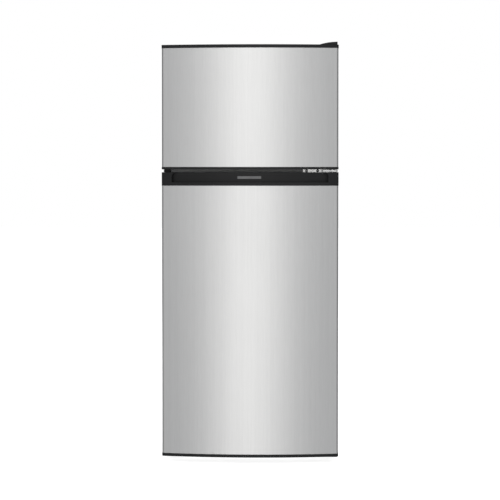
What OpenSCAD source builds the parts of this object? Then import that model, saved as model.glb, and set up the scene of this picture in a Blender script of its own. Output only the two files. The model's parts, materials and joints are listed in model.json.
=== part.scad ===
/* [Overall] */
// Width over the door end caps
width = 600; // [560:10:680]
// Height of the cabinet top above the floor
cabinet_height = 1418; // [1300:10:1600]
// Depth of the cabinet without its doors and rear condenser
depth = 540; // [500:10:640]
// Height from the middle of the door gap to the cabinet top
freezer_height = 427; // [360:10:500]

/* [Doors] */
// Thickness of a door at its side edges, with the gasket
door_edge = 60; // [58:1:72]
// How far the door front bows out at the middle
bow = 28; // [10:1:40]
// Gap between the two doors
door_gap = 10; // [9:1:14]
// Height of the fridge door's bottom edge above the floor
door_clearance = 20; // [20:1:40]
// Radius of the doors' front corners
corner_r = 8; // [5:1:12]
// Height of the handle cap on the fridge door
handle_h = 45; // [40:1:60]
// Depth of the handle's finger recess
recess_depth = 17; // [12:1:22]

/* [Insulation] */
// Wall between the fridge compartment and the outside
fridge_wall = 49.5; // [46:0.5:60]
// Extra wall around the freezer compartment
freezer_extra = 6; // [0:1:20]
// Height of the partition between the compartments
partition_h = 80; // [76:1:100]

/* [Interior] */
// Height of a door bin's front wall
bin_h = 75; // [60:5:90]
// Diameter of the wires in the freezer shelf
wire_d = 4; // [3:0.5:5]
// Number of fins on the evaporator
fin_count = 20; // [10:1:28]
// Number of wires on each side of the condenser
condenser_wire_count = 28; // [12:1:40]

/* [Hidden] */
$fn = 64;
half = width / 2;
sheet = 1;
liner_t = 2.5;
liner_r = 14;
case_half = half - 2.5;
condenser_gap = 24;
condenser_depth = condenser_gap + 4.2;

// The face plane is the cabinet's front; y = 0 of the model is the middle of its whole depth.
face_y = (door_edge + bow - depth - condenser_depth) / 2;

split_z = cabinet_height - freezer_height;
case_bottom = 14;
floor_pan_z = 26;
fridge_half = case_half - fridge_wall;
freezer_half = fridge_half - freezer_extra;
fridge_z = 88;
fridge_top = split_z - partition_h / 2;
freezer_z = split_z + partition_h / 2;
freezer_top = cabinet_height - fridge_wall - freezer_extra - 2.5;
freezer_back = depth - 60;
fridge_back = depth - 52;
bay_y = depth - 200;
bay_top = 266;
hump_y = bay_y - 36;
hump_z = bay_top + 32;
cover_y = freezer_back - 80;

// Shelf heights: the crisper cover sits just over the step in the floor.
cover_shelf_z = hump_z + 4;
shelf_room = fridge_top - cover_shelf_z;
shelf_z = [cover_shelf_z + 0.29 * shelf_room, cover_shelf_z + 0.6 * shelf_room];
shelf_front = 104;
freezer_shelf_z = freezer_z + 0.5 * (freezer_top - freezer_z);

// Doors
fridge_door = [door_clearance, split_z - door_gap / 2];
freezer_door = [split_z + door_gap / 2, cabinet_height - 1];
bow_r = (half * half + bow * bow) / (2 * bow);
bow_y = bow_r - door_edge - bow;
liner_back = -12;
liner_front = -14;
skin_t = 0.8;
top_cap_h = 11;
freezer_base_h = 8;
fridge_base_h = 10;
boss_h = 18;
lip_h = 11;
recess_half = half - 34.5;
grip_half = half - 100;
dyke_half = fridge_half - 23;
dyke_w = 20;
dyke_y = 22;
gasket_half = fridge_half + 30;
gasket_w = 26;
bin_half = dyke_half - 27;
bin_back = -11.6;
bin_y = 78;
fridge_bins = [
    [fridge_z + 42, bin_h + 20],
    [fridge_z + 0.38 * (fridge_top - fridge_z), bin_h],
    [fridge_z + 0.68 * (fridge_top - fridge_z), bin_h]
];
freezer_bins = [[freezer_z + 34, bin_h], [freezer_z + 0.56 * (freezer_top - freezer_z), bin_h]];

// Hinges
pin_x = half - 21;
pin_y = -35;
pin_r = 4;
run = 0.05;
plate_t = 2.5;
arm_t = 3;
screw_r = 3;
head_r = 5;
head_h = 2.8;
middle_screw_x = [fridge_half - 56, fridge_half - 18];
lower_screw_x = [fridge_half - 46, fridge_half - 20, fridge_half + 12];
top_screw_y = [18, 44];

// Base
foot_x = half - 30;
foot_y = 70;
foot_r = 18;
roller_y = depth - 35;
roller_r = 11;
rail_in = half - 50;
rail_out = half - 8;

// Refrigeration
comp = [-60, bay_y + 98];
comp_r = 70;
line_z = floor_pan_z + 76;
coil_z = [freezer_z + 28, freezer_top - 161];
coil_half = freezer_half - 52;
coil_y = [freezer_back - 48, freezer_back - 18];
suction_x = 2 - freezer_half;
fan_z = freezer_top - 66;
fan_r = 42;
fan_y = cover_y + 24;
duct = [-35, 35, freezer_back - 46, freezer_back - 8];
drain_y = depth - 26;
cond_y = depth + condenser_gap;
cond_half = half - 60;
cond_z = [330, cabinet_height - 60];
cond_passes = 14;
strap_x = cond_half - 40;
housing_half = 100;
housing_y = [112, fridge_back - 6];
housing_h = 46;
knob_z = fridge_top - 24;

crisper_half = fridge_half - 18;
runner_x = fridge_half - 98;
rest_x = fridge_half - 58;
crisper_y = [126, hump_y - 6];
crisper_z = [fridge_z + 4.2, hump_z - 6];

// ---------- shared shapes ----------

module from_face() {
    translate([0, face_y, 0]) children();
}

// A block given by its limits along each axis
module span(x, y, z) {
    translate([x[0], y[0], z[0]]) cube([x[1] - x[0], y[1] - y[0], z[1] - z[0]]);
}

// A flat shape drawn in x and z, running from y0 to y1
module along_y(y0, y1) {
    translate([0, y1, 0]) rotate([90, 0, 0]) linear_extrude(y1 - y0) children();
}

// A flat shape drawn in x and y, rising by h from height z
module rising(z, h) {
    translate([0, 0, z]) linear_extrude(h) children();
}

module rod(r, x0, x1, y, z) {
    translate([x0, y, z]) rotate([0, 90, 0]) cylinder(r = r, h = x1 - x0);
}

module post(r, x, y, z) {
    translate([x, y, z[0]]) cylinder(r = r, h = z[1] - z[0]);
}

module round_rect(x, y, r) {
    translate([x[0] + r, y[0]]) square([x[1] - x[0] - 2 * r, y[1] - y[0]]);
    translate([x[0], y[0] + r]) square([x[1] - x[0], y[1] - y[0] - 2 * r]);
    for (cx = [x[0] + r, x[1] - r], cy = [y[0] + r, y[1] - r]) translate([cx, cy]) circle(r);
}

// A round bar that follows straight runs between points, with ball corners
module pipe(points, r) {
    for (i = [0 : len(points) - 2]) {
        way = points[i + 1] - points[i];
        translate(points[i])
            rotate([0, atan2(norm([way[0], way[1]]), way[2]), atan2(way[1], way[0])])
                cylinder(r = r, h = norm(way));
    }
    for (i = [1 : len(points) - 2]) translate(points[i]) sphere(r = r + 0.2);
}

// Route of a bent tube in x and z: level passes joined by returns with cut corners
function serpentine(half_w, z, passes, y, cut) =
    let (pitch = (z[1] - z[0]) / (passes - 1))
    concat(
        [[-half_w, y, z[0]]],
        [for (i = [0 : passes - 2]) let (x = (i % 2 == 0 ? 1 : -1), z0 = z[0] + i * pitch) each [
            [x * half_w, y, z0], [x * (half_w + cut), y, z0 + cut],
            [x * (half_w + cut), y, z0 + pitch - cut], [x * half_w, y, z0 + pitch]
        ]],
        [[(passes % 2 == 1 ? 1 : -1) * half_w, y, z[1]]]
    );

// ---------- cabinet ----------

module outer_case() color("#c9ccce") from_face() difference() {
    span([-case_half, case_half], [0, depth], [case_bottom, cabinet_height]);
    span([-case_half + sheet, case_half - sheet], [sheet, depth + 1], [0, cabinet_height - sheet]);
    span([-fridge_half - liner_t, fridge_half + liner_t], [-1, 2], [0, freezer_z - liner_t]);
    span([-freezer_half - liner_t, freezer_half + liner_t], [-1, 2], [freezer_z - liner_t - 1,
        freezer_top + liner_t]);
    top_screws(screw_r + run, 5);
    lower_screws(screw_r + run, 5);
}

module back_panel() color("#b9bcbe") from_face()
    span([-case_half + sheet, case_half - sheet], [depth - sheet, depth],
        [bay_top, cabinet_height - sheet]);

module bottom_pan() color("#aeb2b5") from_face() difference() {
    union() {
        span([-case_half + sheet, case_half - sheet], [sheet, bay_y], [floor_pan_z, floor_pan_z + sheet]);
        span([-fridge_half - liner_t, fridge_half + liner_t], [0, sheet],
            [floor_pan_z, fridge_z - liner_t]);
        span([-case_half + sheet, case_half - sheet], [bay_y - sheet, bay_y], [floor_pan_z, bay_top]);
        span([-case_half + sheet, case_half - sheet], [bay_y - sheet, depth], [bay_top - sheet, bay_top]);
    }
    for (side = [-1, 1]) post(6, side * foot_x, foot_y, [0, 40]);
    post(10, comp[0], drain_y, [bay_top - 10, bay_top + 10]);
    post(6, suction_x, drain_y, [bay_top - 10, bay_top + 10]);
    lower_screws(screw_r + run, 5);
}

// The two compartment spaces, open at front; grow makes the outer form of their liners
module fridge_space(grow, front = 0) {
    x = [-fridge_half - grow, fridge_half + grow];
    r = liner_r + grow;
    along_y(front, hump_y + grow) round_rect(x, [fridge_z - grow, fridge_top + grow], r);
    along_y(front, fridge_back + grow) round_rect(x, [hump_z - grow, fridge_top + grow], r);
}

module freezer_space(grow, front = 0) {
    along_y(front, freezer_back + grow)
        round_rect([-freezer_half - grow, freezer_half + grow], [freezer_z - grow, freezer_top + grow],
            liner_r + grow);
}

module duct_hole(grow) {
    span([duct[0] - grow, duct[1] + grow], [duct[2] - grow, duct[3] + grow],
        [fridge_top - 10, freezer_z + 10]);
}

module drain_run(r, top) {
    pipe([[comp[0], freezer_back - 24, top], [comp[0], freezer_back - 24, freezer_z - 18],
        [comp[0], drain_y, freezer_z - 81], [comp[0], drain_y, bay_top - 32]], r);
}

module suction_run(r) {
    x = suction_x;
    pipe([[comp[0] - 100, comp[1], line_z + 64], [comp[0] - 112, comp[1], line_z + 64],
        [x, comp[1] + 40, line_z + 64], [x, drain_y, 192],
        [x, drain_y, coil_z[1]], [x + 12, coil_y[1], coil_z[1]], [x + 25, coil_y[1], coil_z[1]]], r);
}

module cabinet_foam() color("#e8d9a8") from_face() difference() {
    span([-case_half + sheet, case_half - sheet], [sheet, depth - sheet],
        [floor_pan_z + sheet, cabinet_height - sheet]);
    span([-half, half], [bay_y - sheet, depth], [0, bay_top]);
    fridge_space(liner_t);
    freezer_space(liner_t);
    duct_hole(2);
    drain_run(9.5, freezer_z + 1);
    suction_run(4.3);
    // room for the steel across the front and the liners' side flanges
    span([-half, half], [0, 20], [fridge_top + liner_t, freezer_z - liner_t]);
    for (side = [-1, 1]) {
        span(side > 0 ? [freezer_half, fridge_half + 16] : [-fridge_half - 16, -freezer_half], [0, 3],
            [fridge_z - liner_t, freezer_top + liner_t]);
        post(7, side * foot_x, foot_y, [0, 44]);
    }
}

module shelf_ledges(side_x, z_list, y0, y1) {
    for (side = [-1, 1], z = z_list)
        span(side > 0 ? [side_x - 9, side_x + 1] : [-side_x - 1, -side_x + 9], [y0, y1], [z - 10, z]);
}

module side_flanges(inner, z0, z1) {
    for (side = [-1, 1])
        span(side > 0 ? [inner, inner + 12] : [-inner - 12, -inner], [sheet, 3], [z0, z1]);
}

// Square front edge of a liner, which fills the corners of the opening in the case
module liner_rim(inner, z0, z1) {
    span([-inner - liner_t, inner + liner_t], [0, sheet], [z0 - liner_t, z1 + liner_t]);
}

module fridge_liner() color("#f2f3f3") from_face() {
    difference() {
        union() {
            fridge_space(liner_t);
            liner_rim(fridge_half, fridge_z, fridge_top);
            side_flanges(fridge_half + liner_t - 1, fridge_z + 20, fridge_top - 20);
        }
        fridge_space(0, -1);
        duct_hole(0);
    }
    shelf_ledges(fridge_half, shelf_z, 60, fridge_back + 1);
    shelf_ledges(fridge_half, [cover_shelf_z], 60, hump_y - 2);
    for (side = [-1, 1])
        span([side * rest_x - 8, side * rest_x + 8], [hump_y + 30, fridge_back - 40],
            [hump_z - 1, cover_shelf_z]);
    // runners that the crisper drawer slides on
    for (side = [-1, 1])
        span([side * runner_x - 6, side * runner_x + 6], [90, hump_y - 4], [fridge_z - 1, fridge_z + 4]);
}

module freezer_liner() color("#eef0f0") from_face() {
    difference() {
        union() {
            freezer_space(liner_t);
            liner_rim(freezer_half, freezer_z, freezer_top);
            side_flanges(freezer_half + liner_t - 1, freezer_z + 20, freezer_top - 20);
        }
        freezer_space(0, -1);
        duct_hole(0);
        post(9.2, comp[0], freezer_back - 24, [freezer_z - 10, freezer_z + 10]);
        along_y(freezer_back - 5, freezer_back + 20) translate([suction_x + 7.6, coil_z[1]]) circle(7);
    }
    shelf_ledges(freezer_half, [freezer_shelf_z], 60, cover_y - 1);
}

module center_rail() color("#d4d6d8") from_face() difference() {
    union() {
        z = [fridge_top + liner_t, freezer_z - liner_t];
        span([-fridge_half - liner_t, fridge_half + liner_t], [0, 1.2], z);
        span([-fridge_half - liner_t, fridge_half + liner_t], [0, 19], [z[0], z[0] + 1.2]);
        span([-fridge_half - liner_t, fridge_half + liner_t], [0, 19], [z[1] - 1.2, z[1]]);
        span([-case_half + 4, case_half - 4], [sheet, 2.4], [z[0] + 10, z[1] - 10]);
        span([fridge_half - 58, case_half - 4], [1.2, 4], [z[0] + 12, z[1] - 12]);
    }
    middle_screws(screw_r + run, 12);
}

// ---------- base ----------

module foot_stud(side) {
    post(pin_r, side * foot_x, foot_y, [6, 38]);
}

module base_frame() color("#8d9194") from_face() {
    for (side = [-1, 1]) {
        x_in = side > 0 ? [rail_in, rail_in + 1.5] : [-rail_in - 1.5, -rail_in];
        x_out = side > 0 ? [rail_out - 1.5, rail_out] : [-rail_out, -rail_out + 1.5];
        difference() {
            union() {
                span(side > 0 ? [rail_in, rail_out] : [-rail_out, -rail_in], [8, depth - 6],
                    [floor_pan_z - 1.5, floor_pan_z]);
                for (x = [x_in, x_out]) span(x, [8, depth - 6], [12, floor_pan_z]);
                post(8, side * foot_x, foot_y, [16, floor_pan_z]);
                for (x = [side * foot_x - 13, side * foot_x + 13])
                    span([x - 1, x + 1], [roller_y - 14, roller_y + 14], [5, floor_pan_z]);
            }
            post(pin_r + run, side * foot_x, foot_y, [0, 40]);
            rod(3 + run, side * foot_x - 18, side * foot_x + 18, roller_y, roller_r);
        }
    }
    for (y = [8, bay_y - 30])
        span([-rail_in - 1, rail_in + 1], [y, y + 26], [floor_pan_z - 1.5, floor_pan_z]);
}

module foot(side) color("#2b2b2d") from_face() {
    post(foot_r, side * foot_x, foot_y, [0, 7]);
    post(7.5, side * foot_x, foot_y, [6, 11], $fn = 6);
    foot_stud(side);
}

module foot_left() foot(-1);
module foot_right() foot(1);

module roller(side) color("#3a3a3c") from_face() {
    rod(roller_r, side * foot_x - 9, side * foot_x + 9, roller_y, roller_r);
    rod(3, side * foot_x - 16, side * foot_x + 16, roller_y, roller_r);
}

module roller_left() roller(-1);
module roller_right() roller(1);

// ---------- refrigeration ----------

module grommet_places() {
    for (dx = [-88, 88], dy = [-58, 58]) translate([comp[0] + dx, comp[1] + dy, 0]) children();
}

module compressor_tray() color("#8d9194") from_face() {
    span([-half + 14, half - 14], [bay_y + 4, depth - 8], [floor_pan_z, floor_pan_z + 2]);
    for (y = [bay_y + 4, depth - 10])
        span([-half + 14, half - 14], [y, y + 2], [floor_pan_z, floor_pan_z + 14]);
    grommet_places() post(3, 0, 0, [floor_pan_z + 1, floor_pan_z + 24]);
}

module compressor_grommets() color("#222222") from_face() grommet_places() difference() {
    union() {
        post(12, 0, 0, [floor_pan_z + 2, floor_pan_z + 16]);
        post(8, 0, 0, [floor_pan_z + 2, floor_pan_z + 20]);
    }
    post(3.05, 0, 0, [0, 60]);
}

module compressor() color("#1d1e20") from_face() {
    translate([comp[0], comp[1], floor_pan_z + 16]) {
        rotate_extrude() difference() {
            union() {
                translate([0, 16]) square([comp_r - 24, 156]);
                translate([0, 40]) square([comp_r, 108]);
                for (z = [40, 148]) translate([comp_r - 24, z]) circle(24);
                translate([0, 92]) square([comp_r + 4, 5]);
            }
            translate([-200, -10]) square([200, 300]);
        }
        difference() {
            linear_extrude(3) translate([0, 0]) round_rect([-104, 104], [-74, 74], 14);
            for (dx = [-88, 88], dy = [-58, 58]) post(8.05, dx, dy, [-1, 5]);
        }
        for (dx = [-40, 40]) span([dx - 3, dx + 3], [-50, 50], [2, 30]);
        rod(5, -100, -60, 0, 124);
        rod(4, -96, -60, -24, 60);
    }
}

module terminal_cover() color("#2d3033") from_face() difference() {
    translate([comp[0], comp[1], 0]) difference() {
        span([comp_r - 20, comp_r + 34], [-28, 28], [96, 156]);
        span([comp_r - 30, comp_r + 31], [-25, 25], [99, 153]);
        post(comp_r + 4, 0, 0, [60, 190]);
    }
    rod(5, comp[0] + comp_r + 10, comp[0] + comp_r + 50, comp[1], 110);
}

module power_gland() color("#303234") from_face() difference() {
    union() {
        span([comp[0] + 176, comp[0] + 204], [depth - 38, depth - 22], [floor_pan_z + 2, floor_pan_z + 36]);
        along_y(depth - 23, depth - 14) translate([comp[0] + 190, floor_pan_z + 24]) circle(9);
    }
    along_y(depth - 34, depth) translate([comp[0] + 190, floor_pan_z + 24]) circle(4.5);
}

module drain_pan() color("#4a4d50") from_face() difference() {
    span([comp[0] - 118, comp[0] + 118], [bay_y + 12, depth - 12], [214, 246]);
    span([comp[0] - 116, comp[0] + 116], [bay_y + 14, depth - 14], [216, 247]);
}

module drain_tube() color("#d8dadb") from_face() difference() {
    drain_run(9, freezer_z);
    drain_run(7, freezer_z + 1);
    span([comp[0] - 12, comp[0] + 12], [0, depth], [freezer_z, freezer_z + 5]);
    span([comp[0] - 12, comp[0] + 12], [0, depth], [bay_top - 40, bay_top - 28]);
}

module condenser_tube() color("#26282a") from_face() {
    pipe(serpentine(cond_half - 22, cond_z, cond_passes, cond_y, 20), 2.5);
    // straps down each side, with feet that hold the tube off the back panel
    for (side = [-1, 1]) {
        x = [side * strap_x - 8, side * strap_x + 8];
        span(x, [cond_y - 1, cond_y + 1], [cond_z[0] - 16, cond_z[1] + 16]);
        for (z = [cond_z[0] + 90, cond_z[1] - 90]) span(x, [depth, cond_y], [z - 2, z + 2]);
    }
}

module condenser_wires() color("#2e3032") from_face() {
    reach = strap_x - 18;
    pitch = 2 * reach / (condenser_wire_count - 1);
    r = 0.8;
    for (y = [cond_y - 2.6 - r, cond_y + 2.6 + r]) {
        for (i = [0 : condenser_wire_count - 1])
            post(r, -reach + i * pitch, y, [cond_z[0] - 14, cond_z[1] + 14], $fn = 16);
        for (z = [cond_z[0] - 12, cond_z[1] + 12])
            span([-reach - 4, reach + 4], [y - r, y + r], [z - 2, z + 2]);
    }
    // blocks that join the two grids and meet the straps
    for (side = [-1, 1], z = [cond_z[0] - 12, cond_z[1] + 12])
        span([side * (strap_x - 12) - 4, side * (strap_x - 12) + 4], [cond_y - 4, cond_y + 4],
            [z - 2, z + 2]);
}

module discharge_line() color("#b8733f") from_face() {
    x = -cond_half - 28;
    y = comp[1] - 24;
    pipe([[comp[0] - 96, y, line_z], [x, y, line_z], [x, cond_y, line_z], [x, cond_y, cond_z[1]],
        [-cond_half + 22, cond_y, cond_z[1]]], 2.5);
}

// Suction tube with the filter drier and capillary soldered to it
module suction_line() color("#c47f49") from_face() {
    suction_run(4);
    x = -cond_half - 12;
    pipe([[-cond_half + 22, cond_y, cond_z[0]], [x, cond_y, cond_z[0]], [x, depth + 12, 300],
        [x, depth + 12, 196], [suction_x, drain_y, 192]], 2);
    post(8, x, depth + 12, [212, 290]);
}

// Two rows of tube joined by upright returns, in a stack of thin fins
module evaporator_coil() color("#cfd3d6") from_face() {
    pitch_z = (coil_z[1] - coil_z[0]) / 3;
    for (y = coil_y) {
        for (i = [0 : 3]) rod(4, -coil_half, coil_half, y, coil_z[0] + i * pitch_z);
        for (i = [0 : 2]) {
            x = i % 2 == 0 ? coil_half : -coil_half;
            z = coil_z[0] + i * pitch_z;
            post(4, x, y, [z, z + pitch_z]);
            for (end_z = [z, z + pitch_z]) translate([x, y, end_z]) sphere(r = 4.2);
        }
    }
    rod(3.9, suction_x + 25, -coil_half, coil_y[1], coil_z[1]);
    fin_half = coil_half - 10;
    for (i = [0 : fin_count - 1]) {
        x = -fin_half + i * 2 * fin_half / (fin_count - 1);
        span([x - 0.3, x + 0.3], [freezer_back - 60, freezer_back], [coil_z[0] - 10, coil_z[1] + 10]);
    }
}

module evaporator_cover() color("#f4f5f5") from_face() difference() {
    union() {
        along_y(cover_y, cover_y + 2.5)
            round_rect([-freezer_half, freezer_half], [freezer_z, freezer_top], 14);
        span([-60, 60], [cover_y - 4, cover_y + 1], [freezer_z + 78, freezer_z + 112]);
    }
    // fan grille, return slots and the airflow slot
    intersection() {
        along_y(cover_y - 1, cover_y + 4) translate([0, fan_z]) circle(fan_r + 2);
        for (z = [fan_z - 36 : 12 : fan_z + 36])
            span([-60, 60], [cover_y - 2, cover_y + 5], [z - 3.5, z + 3.5]);
    }
    returns = floor((freezer_half - 40) / 24);
    for (i = [-returns : returns]) span([i * 24 - 7, i * 24 + 7], [cover_y - 1, cover_y + 4],
        [freezer_z + 8, freezer_z + 20]);
    span([-42, 42], [cover_y - 6, cover_y + 5], [freezer_z + 91, freezer_z + 99]);
}

module airflow_slider() color("#3c4044") from_face() {
    z = freezer_z + 95;
    span([-36, -8], [cover_y - 9, cover_y - 4.3], [z - 12, z + 12]);
    span([-25, -19], [cover_y - 18, cover_y - 8], [z - 11, z + 11]);
    span([-34, -10], [cover_y - 5, cover_y + 4], [z - 3.7, z + 3.7]);
    span([-40, -4], [cover_y + 2.8, cover_y + 4.3], [z - 14, z + 14]);
}

module fan_motor() color("#6f7478") from_face() translate([0, 0, fan_z]) {
    along_y(fan_y + 16, fan_y + 44) difference() {
        circle(22);
        circle(2.5 + run);
    }
    for (a = [45 : 90 : 315]) rotate([0, a, 0]) span([-3, 3], [fan_y + 30, fan_y + 34], [20, 46]);
    for (side = [-1, 1]) span([side * 34 - 6, side * 34 + 6], [fan_y + 30, freezer_back], [-36, -28]);
    for (side = [-1, 1]) span([side * 34 - 6, side * 34 + 6], [fan_y + 30, freezer_back], [28, 36]);
}

module evaporator_fan() color("#e6e8e9") from_face() translate([0, 0, fan_z]) {
    along_y(fan_y - 6, fan_y + 10) circle(13);
    along_y(fan_y + 8, fan_y + 36) circle(2.5);
    for (a = [0 : 90 : 270]) rotate([0, a, 0]) intersection() {
        translate([0, fan_y + 2, 25]) rotate([0, 0, 32]) span([-17, 17], [-0.8, 0.8], [-16, 16]);
        along_y(fan_y - 8, fan_y + 12) circle(fan_r - 2);
    }
}

module defrost_heater() color("#c7b59a") from_face() {
    reach = coil_half + 8;
    rod(5, -reach + 2, reach - 2, freezer_back - 33, freezer_z + 11);
    for (side = [-1, 1]) span([side * reach - 6, side * reach + 6], [freezer_back - 40, freezer_back],
        [freezer_z + 2, freezer_z + 17]);
}

module air_duct() color("#e2e4e5") from_face() difference() {
    span([duct[0], duct[1]], [duct[2], duct[3]], [fridge_top - 3, freezer_z + 3]);
    span([duct[0] + 2, duct[1] - 2], [duct[2] + 2, duct[3] - 2], [0, 2000]);
}

// ---------- fridge compartment ----------

module control_housing() color("#f0f1f2") from_face() difference() {
    z = [fridge_top - housing_h, fridge_top];
    span([-housing_half, housing_half], housing_y, z);
    span([-housing_half + 2, housing_half - 2], [housing_y[0] + 2, housing_y[1] - 2],
        [z[0] + 2, z[1] + 1]);
    // lens window, knob hole and air outlets
    span([-45, 45], [150, 240], [z[0] - 1, z[0] + 3]);
    along_y(housing_y[0] - 1, housing_y[0] + 3) translate([50, knob_z]) circle(3 + run);
    for (side = [-1, 1], y = [280 : 24 : housing_y[1] - 60])
        span([side * housing_half - 3, side * housing_half + 3], [y, y + 14], [z[0] + 12, z[0] + 34]);
}

module temperature_knob() color("#dfe3e6") from_face() translate([50, 0, knob_z]) {
    along_y(housing_y[0] - 15, housing_y[0] - 1) circle(16);
    along_y(housing_y[0] - 2, housing_y[0] + 14) circle(3);
    span([-2.5, 2.5], [housing_y[0] - 19, housing_y[0] - 14], [-15, 15]);
}

module light_cover() color([0.95, 0.96, 0.97, 0.5]) from_face() difference() {
    z = fridge_top - housing_h;
    union() {
        span([-45, 45], [150, 240], [z, z + 2]);
        span([-49, 49], [146, 244], [z + 2, z + 3.5]);
    }
    for (i = [0 : 8]) span([-38, 38], [156 + i * 10, 158 + i * 10], [z - 1, z + 0.8]);
}

module lamp() color("#fff6dd") from_face() {
    z = fridge_top - 22;
    translate([0, 196, z]) sphere(r = 12);
    along_y(200, 222) translate([0, z]) circle(8);
    span([-14, 14], [220, 226], [z - 14, fridge_top]);
}

module glass_shelves() color([0.75, 0.85, 0.87, 0.35]) from_face()
    for (z = shelf_z)
        span([-fridge_half + 12, fridge_half - 12], [shelf_front + 10, fridge_back - 16], [z + 4, z + 8]);

module shelf_frames() color("#e9ebec") from_face() for (z = shelf_z) difference() {
    span([-fridge_half + 2, fridge_half - 2], [shelf_front, fridge_back - 6], [z, z + 11]);
    span([-fridge_half + 24, fridge_half - 24], [shelf_front + 20, fridge_back - 26], [z - 1, z + 12]);
    span([-fridge_half + 12, fridge_half - 12], [shelf_front + 10, fridge_back - 16], [z + 4, z + 12]);
}

module crisper_cover() color([0.85, 0.9, 0.92, 0.6]) from_face() difference() {
    z = cover_shelf_z;
    union() {
        span([-fridge_half + 5, fridge_half - 5], [shelf_front, fridge_back - 6], [z, z + 5]);
        span([-fridge_half + 2, fridge_half - 2], [shelf_front - 4, shelf_front + 1], [z - 4, z + 8]);
    }
    span([-fridge_half, -fridge_half + 10], [0, shelf_front + 20], [z - 12, z]);
    span([fridge_half - 10, fridge_half], [0, shelf_front + 20], [z - 12, z]);
}

module crisper_drawer() color([0.85, 0.9, 0.92, 0.6]) from_face() {
    difference() {
        union() {
            span([-crisper_half, crisper_half], crisper_y, crisper_z);
            // grip along the top of the front
            span([-90, 90], [crisper_y[0] - 7, crisper_y[0] + 1], [crisper_z[1] - 30, crisper_z[1] - 6]);
        }
        span([-crisper_half + 2.5, crisper_half - 2.5], [crisper_y[0] + 2.5, crisper_y[1] - 2.5],
            [crisper_z[0] + 2.5, crisper_z[1] + 1]);
        span([-84, 84], [crisper_y[0] - 4.5, crisper_y[0] + 0.01], [crisper_z[1] - 31, crisper_z[1] - 9]);
    }
}

module freezer_shelf() color("#eceeee") from_face() {
    r = wire_d / 2;
    x = freezer_half - 4;
    y = [92, cover_y - 8];
    z = freezer_shelf_z + r;
    for (cy = [y[0], (y[0] + y[1]) / 2, y[1]]) rod(r, -x, x, cy, z, $fn = 24);
    count = 18;
    for (i = [0 : count - 1])
        translate([-x + 6 + i * (2 * x - 12) / (count - 1), y[0], z + r * 0.9])
            rotate([-90, 0, 0]) cylinder(r = r, h = y[1] - y[0], $fn = 24);
}

// ---------- hinges ----------

module top_screws(r, deep) {
    for (y = top_screw_y) post(r, pin_x + 3, y, [cabinet_height - deep, cabinet_height + plate_t]);
}

module middle_screws(r, deep) {
    for (x = middle_screw_x)
        along_y(-plate_t, deep) translate([x, split_z]) circle(r);
}

module lower_screws(r, deep) {
    for (x = lower_screw_x)
        along_y(-plate_t, deep) translate([x, floor_pan_z + 8]) circle(r);
}

module top_hinge() color("#a9adb0") from_face() difference() {
    union() {
        rising(cabinet_height, plate_t)
            round_rect([pin_x - 20, pin_x + 14], [pin_y - 14, 60], 6);
        post(pin_r, pin_x, pin_y, [cabinet_height - 15, cabinet_height + 1]);
    }
    top_screws(screw_r + run, 5);
}

module top_hinge_cover() color("#202123") from_face() {
    x0 = half - 66;
    x1 = half - 4;
    rise = 9.4;
    big = (pow(x1 - x0, 2) + rise * rise) / (2 * rise);
    difference() {
        along_y(pin_y - 17, 66) intersection() {
            translate([x1, cabinet_height + rise - big]) circle(big, $fn = 128);
            translate([x0, cabinet_height]) square([x1 - x0, 20]);
        }
        along_y(pin_y - 15.5, 64.5) intersection() {
            translate([x1, cabinet_height + rise - big]) circle(big - 1.2, $fn = 128);
            translate([x0, cabinet_height - 1]) square([x1 - x0 - 1.2, 20]);
        }
    }
}

module middle_hinge() color("#c3c6c8") from_face() difference() {
    union() {
        span([fridge_half - 68, case_half - 2], [-plate_t, 0], [split_z - 12, split_z + 11]);
        rising(split_z - 1.5, arm_t)
            round_rect([pin_x - 36, case_half], [pin_y - 13, 0], 6);
        post(pin_r, pin_x, pin_y, [split_z - 17, split_z + 17]);
        post(9, pin_x, pin_y, [split_z, freezer_door[0] - 0.3]);
    }
    middle_screws(screw_r + run, 1);
}

module lower_hinge() color("#27292b") from_face() difference() {
    union() {
        span([fridge_half - 60, case_half - 2], [-plate_t, 0], [door_clearance - 3.5, floor_pan_z + 18]);
        rising(door_clearance - 3.5, arm_t)
            round_rect([pin_x - 22, case_half], [pin_y - 13, 0], 6);
        post(pin_r, pin_x, pin_y, [door_clearance - 2, door_clearance + 14]);
        post(9, pin_x, pin_y, [door_clearance - 2, door_clearance - 0.2]);
    }
    lower_screws(screw_r + run, 1);
}

module hinge_screws() color("#c8cbcd") from_face() {
    top_screws(screw_r, 1);
    for (y = top_screw_y)
        post(head_r, pin_x + 3, y, [cabinet_height + plate_t, cabinet_height + plate_t + head_h]);
    middle_screws(screw_r, 4);
    for (x = middle_screw_x)
        along_y(-plate_t - head_h, -plate_t) translate([x, split_z]) circle(head_r);
    lower_screws(screw_r, sheet);
    for (x = lower_screw_x)
        along_y(-plate_t - head_h, -plate_t) translate([x, floor_pan_z + 8]) circle(head_r);
}

module left_hinge_cover() color("#151617") from_face() {
    span([-case_half + 3, -case_half + 26], [-10, 0], [split_z - 4.5, split_z + 4.5]);
    span([-case_half + 6, -case_half + 22], [-3, 0], [split_z - 9, split_z + 9]);
}

// ---------- doors ----------

// Outline of a door from above: flat back, bowed front and rounded front corners.
// inset moves every side but the back inwards.
module door_plan(inset, back) {
    h = half - inset;
    arc_r = bow_r - inset;
    r = max(corner_r - inset, 0.6);
    x = h - r;
    y = bow_y - sqrt(pow(arc_r - r, 2) - x * x);
    reach = x * arc_r / (arc_r - r);
    intersection() {
        translate([0, bow_y]) circle(arc_r, $fn = 720);
        translate([-reach, -200]) square([2 * reach, 200 + back]);
    }
    translate([-h, y]) square([2 * h, back - y]);
    for (side = [-1, 1]) translate([side * x, y]) circle(r);
}

module door_slab(z, inset, back) rising(z[0], z[1] - z[0]) door_plan(inset, back);

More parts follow.
